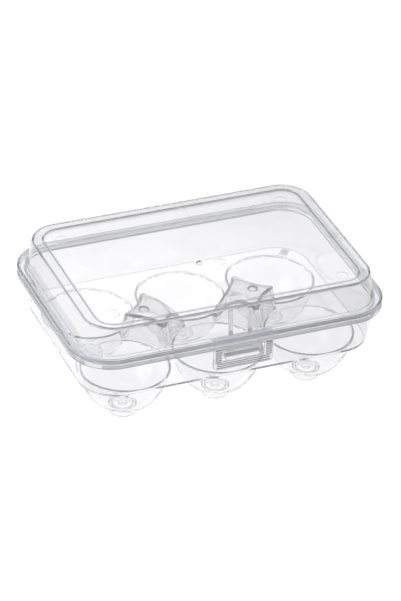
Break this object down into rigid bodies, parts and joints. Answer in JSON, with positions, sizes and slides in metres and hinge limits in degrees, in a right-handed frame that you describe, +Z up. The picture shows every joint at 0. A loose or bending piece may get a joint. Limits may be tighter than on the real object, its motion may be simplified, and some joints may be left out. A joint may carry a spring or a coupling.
{
  "type": "hinged egg carton",
  "caption": "Clear moulded egg box: a tray with rounded cups on foot rings, a recessed-top lid on a rear living hinge and a front snap latch flap.",
  "frame": {"origin": "bottom centre of the closed box, on the plane its foot rings stand on", "axes": "+Z up, +X to the right along the long side, -Y the front with the latch, +Y the hinge side"},
  "size_m": [0.1662, 0.116, 0.0661],
  "materials": {
    "clear_tray": "clear moulded polypropylene, polished",
    "clear_lid": "clear moulded polypropylene, polished",
    "clear_latch": "clear moulded polypropylene, satin grip"
  },
  "bodies": {
    "tray": {"tray_deck": "clear_tray", "tray_wall": "clear_tray", "tray_rim": "clear_tray", "egg_cup_front_left": "clear_tray", "egg_cup_front_middle": "clear_tray", "egg_cup_front_right": "clear_tray", "egg_cup_back_left": "clear_tray", "egg_cup_back_middle": "clear_tray", "egg_cup_back_right": "clear_tray", "cup_foot_front_left": "clear_tray", "cup_foot_front_middle": "clear_tray", "cup_foot_front_right": "clear_tray", "cup_foot_back_left": "clear_tray", "cup_foot_back_middle": "clear_tray", "cup_foot_back_right": "clear_tray", "divider_post_left": "clear_tray", "divider_post_right": "clear_tray", "latch_catch": "clear_tray", "hinge_strip": "clear_tray"},
    "lid": {"lid_panel": "clear_lid", "lid_border": "clear_lid", "lid_wall": "clear_lid", "lid_rim": "clear_lid", "lid_rib_left": "clear_lid", "lid_rib_right": "clear_lid", "latch_lip": "clear_lid"},
    "latch": {"latch_flap": "clear_latch"}
  },
  "joints": [
    {"name": "lid_hinge", "type": "hinge", "parent": "tray", "child": "lid", "pos_m": [0, 0.05775, 0.04905], "axis": [-1, 0, 0], "range_deg": [0, 180]},
    {"name": "latch_hinge", "type": "hinge", "parent": "lid", "child": "latch", "pos_m": [0, -0.05605, 0.0519], "axis": [-1, 0, 0], "range_deg": [0, 110]}
  ]
}
